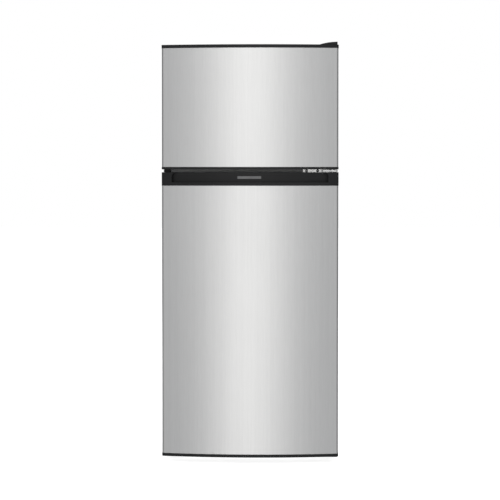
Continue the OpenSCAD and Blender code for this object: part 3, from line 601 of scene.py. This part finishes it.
# %% The bent tube
PASSES = 14
TUBE_R = 2.5 * MM
STRAP_END = 16 * MM
tube_low, tube_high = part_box("condenser_tube")
wire_low, wire_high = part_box("condenser_wires")
grid_y = (wire_low.y + wire_high.y) / 2
first_pass = tube_low.z + STRAP_END
last_pass = tube_high.z - STRAP_END


def condenser_tube():
    """One tube from the lowest pass to the highest, turning at alternate sides."""
    reach = tube_high.x - TUBE_R
    pitch = (last_pass - first_pass) / (PASSES - 1)
    start_x = -reach + 20 * MM
    route = [(start_x, grid_y, first_pass)]
    for i in range(PASSES - 1):
        x = reach if i % 2 == 0 else -reach
        z = first_pass + i * pitch
        route += [(x, grid_y, z), (x, grid_y, z + pitch)]
    route.append((start_x, grid_y, last_pass))
    bent = [round_bends(route, 26 * MM, 8)]
    return tube_piece("condenser_bent_tube", bent, TUBE_R, BLACK_ENAMEL, "cabinet")


made = condenser_tube()
print("made", made.name, "with", PASSES, "passes")

# %% [markdown]
# The wires lie against the tube on both sides. There are more of them than on the plain
# solid, because real ones stand only about 6 mm apart. They are all splines of one curve
# object, which is far lighter than an object for each.

# %% The wires
WIRES_PER_SIDE = 62
WIRE_R = 0.8 * MM


def condenser_wires():
    wires = []
    half = wire_high.x
    for y in (grid_y - TUBE_R - WIRE_R, grid_y + TUBE_R + WIRE_R):
        for i in range(WIRES_PER_SIDE):
            x = -half + 2 * half * i / (WIRES_PER_SIDE - 1)
            wires.append([(x, y, wire_low.z), (x, y, wire_high.z)])
    return tube_piece(
        "condenser_wire_grid", wires, WIRE_R, BLACK_ENAMEL, "cabinet",
        ("condenser_wires",),
    )


made = condenser_wires()
print("made", made.name, "with", len(made.data.splines), "wires")

# %% [markdown]
# A flat strap down each side holds the ends of the passes. Two folded feet on each strap
# stand the grid off the back panel, so that air can rise behind it. Flat stock has square
# edges, so blocks in a bmesh are all that it needs.

# %% The straps
STRAP_HALF = 8 * MM


def add_box(shape, low, high):
    """A block between two corners, in a bmesh."""
    corners = [
        shape.verts.new((x, y, z))
        for x in (low[0], high[0])
        for y in (low[1], high[1])
        for z in (low[2], high[2])
    ]
    for face in ((0, 1, 3, 2), (4, 6, 7, 5), (0, 4, 5, 1), (2, 3, 7, 6), (0, 2, 6, 4), (1, 5, 7, 3)):
        shape.faces.new([corners[i] for i in face])


def condenser_straps():
    """A flat strap down each side, with two folded feet that reach the back panel."""
    straps = bmesh.new()
    back = tube_low.y
    for side in (-1, 1):
        x = side * (wire_high.x + 14 * MM)
        add_box(
            straps, (x - STRAP_HALF, grid_y - MM, tube_low.z), (x + STRAP_HALF, grid_y + MM, tube_high.z)
        )
        for z in (first_pass + 90 * MM, last_pass - 90 * MM):
            add_box(straps, (x - STRAP_HALF, back, z - 2 * MM), (x + STRAP_HALF, grid_y, z + 2 * MM))
            add_box(straps, (x - 14 * MM, back, z - 9 * MM), (x + 14 * MM, back + 1.5 * MM, z + 9 * MM))
    return mesh_piece(
        "condenser_straps", straps, BLACK_ENAMEL, "cabinet", ("condenser_tube",), False
    )


print("made", condenser_straps().name)

# %% [markdown]
# ## Evaporator
# Behind the freezer's rear cover sits the cold coil: two rows of aluminium tube with
# hairpin ends, threaded through a stack of foil-thin fins. Each row is a route like the
# condenser's, with three bends instead of thirteen.

# %% Evaporator tube
COIL_R = 4 * MM
COIL_BENDS = 3
coil_low, coil_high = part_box("evaporator_coil")
coil_half = coil_high.x - COIL_R - 0.2 * MM


def evaporator_tube():
    bottom = coil_low.z + 10 * MM
    top = coil_high.z - 10 * MM
    pitch = (top - bottom) / COIL_BENDS
    routes = []
    for y in (coil_low.y + 12 * MM, coil_high.y - 18 * MM):
        route = [(-coil_half, y, bottom)]
        for i in range(COIL_BENDS):
            x = coil_half if i % 2 == 0 else -coil_half
            z = bottom + i * pitch
            route += [(x, y, z), (x, y, z + pitch)]
        route.append((-coil_half, y, top))
        routes.append(round_bends(route, 14 * MM))
    return tube_piece("evaporator_tube", routes, COIL_R, ALUMINIUM, "cabinet")


made = evaporator_tube()
print("made", made.name, "with", len(made.data.splines), "rows")

# %% [markdown]
# Real fins are 5 to 6 mm apart, closer than the plain solid shows, so their number here
# comes from that spacing. Each is a block 0.3 mm thick, which at this size reads as foil.

# %% Evaporator fins
FIN_THICK = 0.3 * MM
FIN_SPACING = 5.6 * MM


def evaporator_fins():
    fins = bmesh.new()
    half = coil_half - 12 * MM
    spaces = round(2 * half / FIN_SPACING)
    for i in range(spaces + 1):
        x = -half + i * 2 * half / spaces
        low = (x - FIN_THICK / 2, coil_low.y, coil_low.z)
        high = (x + FIN_THICK / 2, coil_high.y, coil_high.z)
        add_box(fins, low, high)
    return mesh_piece(
        "evaporator_fins", fins, ALUMINIUM, "cabinet", ("evaporator_coil",), False
    )


made = evaporator_fins()
print("made", made.name, "with", len(made.data.polygons) // 6, "fins")

# %% [markdown]
# ## Fan
# The evaporator fan pushes cold air through the grille. A flat paddle would look like a
# stand-in: a moulded blade is cambered, twists towards its tip and is widest outside. Each
# blade is a small grid of points with that twist, given thickness by a Solidify modifier.

# %% Cambered blades
BLADES = 5
BLADE_STEPS = 8
HUB_R = 13 * MM
fan_low, fan_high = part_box("evaporator_fan")
fan_centre = Vector(((fan_low.x + fan_high.x) / 2, fan_low.y, (fan_low.z + fan_high.z) / 2))


def fan_blades():
    shape = bmesh.new()
    tip = (fan_high.x - fan_low.x) / 2 - 0.5 * MM
    root = HUB_R - 1.5 * MM
    for blade in range(BLADES):
        grid = []
        for i in range(BLADE_STEPS + 1):
            out = i / BLADE_STEPS
            r = root + (tip - root) * out
            row = []
            for k in range(BLADE_STEPS + 1):
                share = k / BLADE_STEPS - 0.5
                sweep = (0.86 + 0.2 * out) * share + 0.22 * out
                angle = 2 * math.pi * blade / BLADES + sweep
                pitch = 11 * MM * share * (1 - 0.25 * out)
                camber = 3.2 * MM * (0.25 - share * share)
                spot = Vector((r * math.cos(angle), 8 * MM + pitch + camber, r * math.sin(angle)))
                row.append(shape.verts.new(fan_centre + spot))
            grid.append(row)
        for near, far in zip(grid, grid[1:]):
            for k in range(BLADE_STEPS):
                shape.faces.new((near[k], far[k], far[k + 1], near[k + 1]))
    blades = mesh_piece("fan_blades", shape, WHITE_PLASTIC, "fan")
    thick = blades.modifiers.new("thickness", "SOLIDIFY")
    thick.thickness = 1.1 * MM
    thick.offset = 0
    return blades


print("made", fan_blades().name, "with", BLADES, "blades")

# %% [markdown]
# The hub is round, so it is turned: a short outline of radius and height goes once about
# the axle. The same helper makes the feet and the knob, and there the radius may also swell
# with the angle, which gives scallops and flutes without a single boolean.

# %% The hub
def add_turned(shape, profile, centre, axis, segments=48, swell=None):
    """Turns (radius, height) points about an axis through centre; swell(angle) scales the radius."""
    axis = Vector(axis).normalized()
    side = axis.orthogonal().normalized()
    other = axis.cross(side)
    rings = []
    for radius, height in profile:
        ring = []
        for i in range(segments):
            angle = 2 * math.pi * i / segments
            reach = radius * (swell(angle) if swell else 1)
            spot = side * math.cos(angle) * reach + other * math.sin(angle) * reach
            ring.append(shape.verts.new(Vector(centre) + spot + axis * height))
        rings.append(ring)
    for low, high in zip(rings, rings[1:]):
        for i in range(segments):
            k = (i + 1) % segments
            shape.faces.new((low[i], low[k], high[k], high[i]))
    shape.faces.new(rings[0][::-1])
    shape.faces.new(rings[-1])


def fan_hub():
    hub = bmesh.new()
    length = 16 * MM
    profile = (
        (9 * MM, 0), (11.5 * MM, 0.8 * MM), (12.8 * MM, 3 * MM), (HUB_R, length),
        (3.5 * MM, length), (2.5 * MM, length + MM), (2.5 * MM, fan_high.y - fan_low.y),
    )
    add_turned(hub, profile, fan_centre, (0, 1, 0))
    return mesh_piece("fan_hub", hub, WHITE_PLASTIC, "fan", ("evaporator_fan",))


made = fan_hub()
print("made", made.name, "with", len(made.data.polygons), "faces")

# %% [markdown]
# ## Levelling feet
# A front foot is a plastic pad on a threaded stud. Its rim is scalloped so that it can be
# turned by hand. The pad is a turned profile whose radius swells in and out with the angle,
# and the thread is a turned zigzag, fine enough that nobody misses the helix.

# %% Feet
THREAD_PITCH = 1.2 * MM
SCALLOPS = 24


def scalloped(angle):
    """Draws the radius in a little between one scallop and the next."""
    return 1 - 0.022 * (0.5 + 0.5 * math.cos(SCALLOPS * angle))


def foot(node, body):
    low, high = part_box(node)
    centre = Vector(((low.x + high.x) / 2, (low.y + high.y) / 2, low.z))
    r = (high.x - low.x) / 2
    pad = bmesh.new()
    profile = (
        (r - 2 * MM, 0), (r - 0.4 * MM, 0.9 * MM), (r, 2 * MM), (r, 5.6 * MM), (r - 1.2 * MM, 7 * MM),
        (10 * MM, 7.6 * MM), (8 * MM, 8.4 * MM), (7.4 * MM, 11 * MM), (3.4 * MM, 11 * MM),
    )
    add_turned(pad, profile, centre, (0, 0, 1), 144, scalloped)
    mesh_piece(node + "_pad", pad, BLACK_PLASTIC, body, (node,))
    stud = bmesh.new()
    turns = []
    height = 10.5 * MM
    while height < high.z - low.z - 1.5 * MM:
        turns += [(3.35 * MM, height), (3.95 * MM, height + THREAD_PITCH / 2)]
        height += THREAD_PITCH
    turns.append((3.1 * MM, high.z - low.z))
    add_turned(stud, turns, centre, (0, 0, 1), 32)
    mesh_piece(node + "_stud", stud, ZINC, body)
    return len(turns) // 2


for node, body in (("foot_left", "left_foot"), ("foot_right", "right_foot")):
    print(node, "has", foot(node, body), "threads")

# %% [markdown]
# ## Temperature knob
# The dial in the fresh-food compartment has a fluted skirt and a raised grip across its
# face. The skirt is turned, with flutes that nip its radius in, and the grip is a plain bar
# that stands up through the face.

# %% The knob
FLUTES = 32
knob_low, knob_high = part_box("temperature_knob")
knob_x = (knob_low.x + knob_high.x) / 2
knob_z = (knob_low.z + knob_high.z) / 2


def fluted(angle):
    return 1 - 0.03 * max(0.0, math.cos(FLUTES * angle))


def knob():
    shape = bmesh.new()
    front = knob_low.y
    r = (knob_high.x - knob_low.x) / 2
    profile = (
        (2.9 * MM, knob_high.y - front), (2.9 * MM, 18.4 * MM), (r - 0.6 * MM, 18 * MM),
        (r, 16.6 * MM), (r - 0.8 * MM, 6 * MM), (r - 2.2 * MM, 4.4 * MM), (2 * MM, 4 * MM),
    )
    add_turned(shape, profile, (knob_x, front, knob_z), (0, 1, 0), 160, fluted)
    bar = 2.4 * MM
    reach = 13.6 * MM
    add_box(shape, (knob_x - bar, front, knob_z - reach), (knob_x + bar, front + 5 * MM, knob_z + reach))
    return mesh_piece(
        "fluted_knob", shape, WHITE_PLASTIC, "thermostat_knob", ("temperature_knob",)
    )


made = knob()
print("made", made.name, "with", len(made.data.polygons), "faces")

# %% [markdown]
# The scale round the knob is seven thin raised ticks, each a little longer than the last.
# They are mesh and not a painted pattern, so that they stay sharp close up. They ride on the
# cabinet, and stay where they are while the knob turns.

# %% The dial marks
TICKS = 7
TICK_STEP = 30


def dial_marks():
    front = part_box("control_housing")[0].y
    centre = Vector((knob_x, 0, knob_z))
    shape = bmesh.new()
    for i in range(TICKS):
        angle = math.radians(TICK_STEP * i - 90)
        out = Vector((math.sin(angle), 0, math.cos(angle)))
        across = Vector((out.z, 0, -out.x)) * 0.45 * MM
        start = centre + out * 17.6 * MM
        end = centre + out * (19.4 + 0.25 * i) * MM
        ring = [start - across, start + across, end + across, end - across]
        back = [shape.verts.new((p.x, front + 0.05 * MM, p.z)) for p in ring]
        face = [shape.verts.new((p.x, front - 0.2 * MM, p.z)) for p in ring]
        shape.faces.new(face)
        for a in range(4):
            b = (a + 1) % 4
            shape.faces.new((face[a], face[b], back[b], back[a]))
    return mesh_piece("dial_marks", shape, BLACK_PLASTIC, "cabinet", (), False)


print("made", dial_marks().name, "with", TICKS, "ticks")

# %% [markdown]
# ## Studio floor
# The room is as plain as a product studio: a pale floor that glows a little, so that it
# fades into the white behind. It is kept out of mirror rays, or its far edge would draw a
# line across the steel.

# %% Floor
def pale_floor():
    shape = bmesh.new()
    bmesh.ops.create_grid(shape, x_segments=24, y_segments=24, size=20)
    mesh = bpy.data.meshes.new("studio_floor")
    shape.to_mesh(mesh)
    shape.free()
    floor = bpy.data.objects.new("studio_floor", mesh)
    bpy.context.scene.collection.objects.link(floor)
    paint = Finish("pale_floor_paint", Emission_Strength=0.86)
    cloud = paint.noise(1.5, 3)
    paint.colour(paint.mix(cloud, (0.86, 0.86, 0.86), (0.89, 0.89, 0.89)))
    paint.plug(paint.shader.inputs["Emission Color"], paint.mix(cloud, (0.97, 0.97, 0.97), (1, 1, 1)))
    paint.rough(0.7 + 0.1 * cloud)
    mesh.materials.append(paint.material)
    floor.location.z = cad_box[0].z - 0.3 * MM
    floor.visible_glossy = False
    return floor


print("floor at", round(pale_floor().location.z, 5))

# %% [markdown]
# ## World
# Steel shows what it mirrors, so the world is two things at once. The camera itself sees
# plain white. Every other ray sees grey that is bright in front of the doors and dim beside
# and behind them, as in a room lit from where the viewer stands. The bowed doors mirror more
# of the dim sides towards their edges, and that shading is what makes them look bowed.

# %% World
def studio_world():
    world = bpy.data.worlds.new("studio")
    bpy.context.scene.world = world
    world.use_nodes = True
    world.node_tree.nodes.clear()
    sky = Board(world.node_tree)
    white = sky.node("ShaderNodeBackground", {}, {"Color": (1, 1, 1, 1)})
    facing = sky.node("ShaderNodeTexCoord", output="Generated")
    along_y = sky.node("ShaderNodeSeparateXYZ", {}, {0: facing}, "Y")
    light = sky.node(
        "ShaderNodeMapRange",
        {"interpolation_type": "SMOOTHSTEP"},
        {"Value": along_y, "From Min": -0.35, "From Max": -1.0, "To Min": 0.3, "To Max": 0.88},
    )
    grey = sky.node("ShaderNodeBackground", {}, {"Color": (0.8, 0.8, 0.8, 1), "Strength": light})
    seen = sky.node("ShaderNodeLightPath", output="Is Camera Ray")
    both = sky.node("ShaderNodeMixShader", {}, {0: seen, 1: grey, 2: white})
    sky.node("ShaderNodeOutputWorld", {}, {0: both})
    return world


print("made world", studio_world().name)

# %% [markdown]
# ## Soft panels
# A tall, narrow panel behind the camera makes the bright stripe down the middle of the bowed
# doors. It is far taller than the doors, so that the stripe has no ends, and a little warm,
# to balance the steel's cool grey. A broad one overhead lights the top, and others at the
# sides and back are for views from there. The side panels light the case but are hidden from
# mirror rays, because each would draw a stripe of its own near a door's edge.

# %% Soft panels
def soft_panel(name, place, target, width, height, radiance, mirrored=True, tint=(1, 1, 1)):
    """A rectangular light whose brightness is given, so that its size can change freely."""
    lamp = bpy.data.lights.new(name, "AREA")
    lamp.color = tint
    lamp.shape = "RECTANGLE"
    lamp.size = width
    lamp.size_y = height
    lamp.energy = radiance * math.pi * width * height
    panel = bpy.data.objects.new(name, lamp)
    panel.location = place
    panel.rotation_euler = (Vector(target) - Vector(place)).to_track_quat("-Z", "Y").to_euler()
    panel.visible_glossy = mirrored
    bpy.context.scene.collection.objects.link(panel)
    return panel


middle = (cad_box[0] + cad_box[1]) / 2
soft_panel("front_panel", (-0.2, -6.4, 1.2), (0, 0, 1.1), 1.55, 8.0, 1.92, tint=(1, 0.98, 0.95))
soft_panel("top_panel", (0, -0.6, 4.2), (0, 0, 0), 4.5, 4.5, 1.15)
soft_panel("left_panel", (-4.0, 2.2, 2.2), middle, 2.2, 3.0, 1.6, False)
soft_panel("right_panel", (4.0, 2.2, 2.2), middle, 2.2, 3.0, 1.3, False)
soft_panel("back_panel_light", (0.8, 5.2, 2.4), middle, 2.6, 2.6, 1.6)
print("five soft panels")

# %% [markdown]
# ## Camera
# The camera stands about five and a half metres off, at chest height and a touch to the
# right. It tilts down only slightly and takes the rest of the framing from a small lens
# shift, as is done for tall buildings, so the door edges stay upright.

# %% Camera
DOOR_EDGE_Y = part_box("fridge_door_liner")[0].y - 46 * MM
DISTANCE = 5.5
EYE_HEIGHT = 1.0126
AIM_HEIGHT = 0.7227
VIEW_WIDTH = 1.694
TURN = math.radians(1.5)
SENSOR = 36
SHIFT = -0.08


def camera():
    """Looks at the aim height; the view is VIEW_WIDTH metres wide at the doors."""
    data = bpy.data.cameras.new("camera")
    data.sensor_width = SENSOR
    data.lens = SENSOR * DISTANCE / math.cos(TURN) / VIEW_WIDTH
    data.shift_y = SHIFT
    data.clip_end = 60
    eye = bpy.data.objects.new("camera", data)
    bpy.context.scene.collection.objects.link(eye)
    eye.location = (DISTANCE * math.tan(TURN), DOOR_EDGE_Y - DISTANCE, EYE_HEIGHT)
    drop = (EYE_HEIGHT - AIM_HEIGHT) / DISTANCE
    pitch = math.atan(drop) - math.atan(-SHIFT * SENSOR / data.lens)
    eye.rotation_euler = (math.pi / 2 - pitch, 0, TURN)
    bpy.context.scene.camera = eye
    return eye


eye = camera()
scene = bpy.context.scene
scene.view_settings.view_transform = "Standard"
scene.view_settings.look = "None"
scene.cycles.use_denoising = True
print("camera at", [round(c, 3) for c in eye.location], "lens", round(eye.data.lens, 1))
